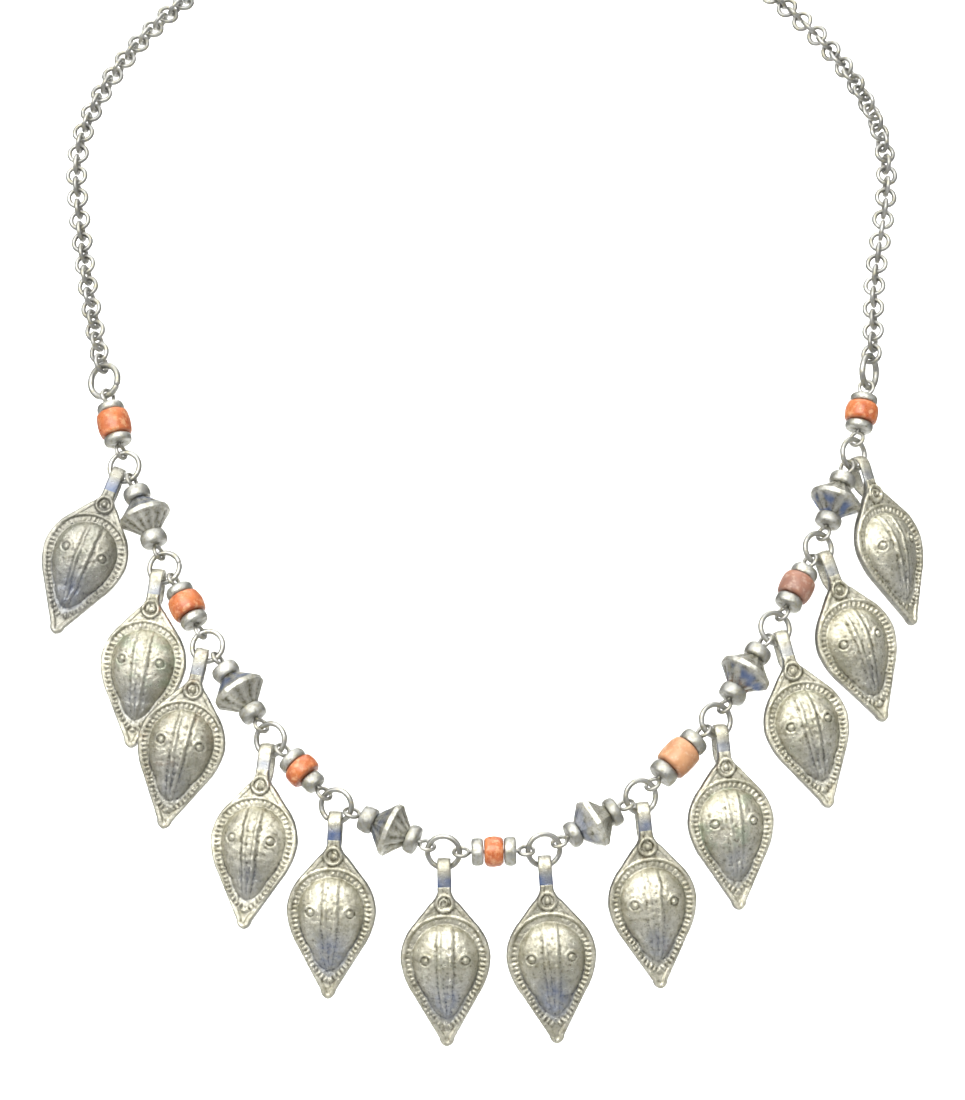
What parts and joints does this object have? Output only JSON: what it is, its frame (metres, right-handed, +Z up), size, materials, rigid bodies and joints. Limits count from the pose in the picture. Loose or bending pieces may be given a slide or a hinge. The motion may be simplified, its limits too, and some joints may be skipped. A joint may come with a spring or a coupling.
{
  "type": "leaf charm necklace",
  "caption": "Necklace of cast silver leaf charms on jump rings, with wired coral barrels and silver bicone beads between them, on a round-link chain closed by an S hook.",
  "frame": {"origin": "middle of the S hook at the nape, the highest point of the necklace's line", "axes": "+Z up, -Y to the wearer's front, +X to the right as seen from the front"},
  "size_m": [0.1486, 0.1203, 0.1836],
  "materials": {
    "leaf_silver": "cast silver, satin on the high parts with an olive-grey patina in the low ones",
    "ring_silver": "drawn silver wire, softly worn",
    "pin_silver": "drawn silver wire, softly worn and grey in the eyes",
    "bicone_silver": "cast silver with dark grey patina in the flutes",
    "spacer_silver": "satin silver, worn",
    "cap_silver": "satin silver, worn",
    "chain_silver": "drawn silver wire with grey patina between the links",
    "clasp_silver": "drawn silver wire, softly worn",
    "coral": "polished coral, orange-red, faintly banded",
    "tan_coral": "worn coral, tan-orange",
    "brown_coral": "worn coral, dusty brown-orange"
  },
  "bodies": {
    "root": {"bicone_01": "bicone_silver", "bicone_02": "bicone_silver", "bicone_03": "bicone_silver", "bicone_04": "bicone_silver", "bicone_05": "bicone_silver", "bicone_06": "bicone_silver", "bicone_spacers": "spacer_silver", "chain_left": "chain_silver", "chain_right": "chain_silver", "clasp": "clasp_silver", "coral_01": "coral", "coral_02": "coral", "coral_03": "coral", "coral_04": "coral", "coral_05": "tan_coral", "coral_06": "brown_coral", "coral_07": "coral", "coral_caps": "cap_silver", "leaf_01": "leaf_silver", "leaf_02": "leaf_silver", "leaf_03": "leaf_silver", "leaf_04": "leaf_silver", "leaf_05": "leaf_silver", "leaf_06": "leaf_silver", "leaf_07": "leaf_silver", "leaf_08": "leaf_silver", "leaf_09": "leaf_silver", "leaf_10": "leaf_silver", "leaf_11": "leaf_silver", "leaf_12": "leaf_silver", "pin_01": "pin_silver", "pin_02": "pin_silver", "pin_03": "pin_silver", "pin_04": "pin_silver", "pin_05": "pin_silver", "pin_06": "pin_silver", "pin_07": "pin_silver", "pin_08": "pin_silver", "pin_09": "pin_silver", "pin_10": "pin_silver", "pin_11": "pin_silver", "pin_12": "pin_silver", "pin_13": "pin_silver", "ring_00": "ring_silver", "ring_01": "ring_silver", "ring_02": "ring_silver", "ring_03": "ring_silver", "ring_04": "ring_silver", "ring_05": "ring_silver", "ring_06": "ring_silver", "ring_07": "ring_silver", "ring_08": "ring_silver", "ring_09": "ring_silver", "ring_10": "ring_silver", "ring_11": "ring_silver", "ring_12": "ring_silver", "ring_13": "ring_silver"}
  },
  "joints": []
}
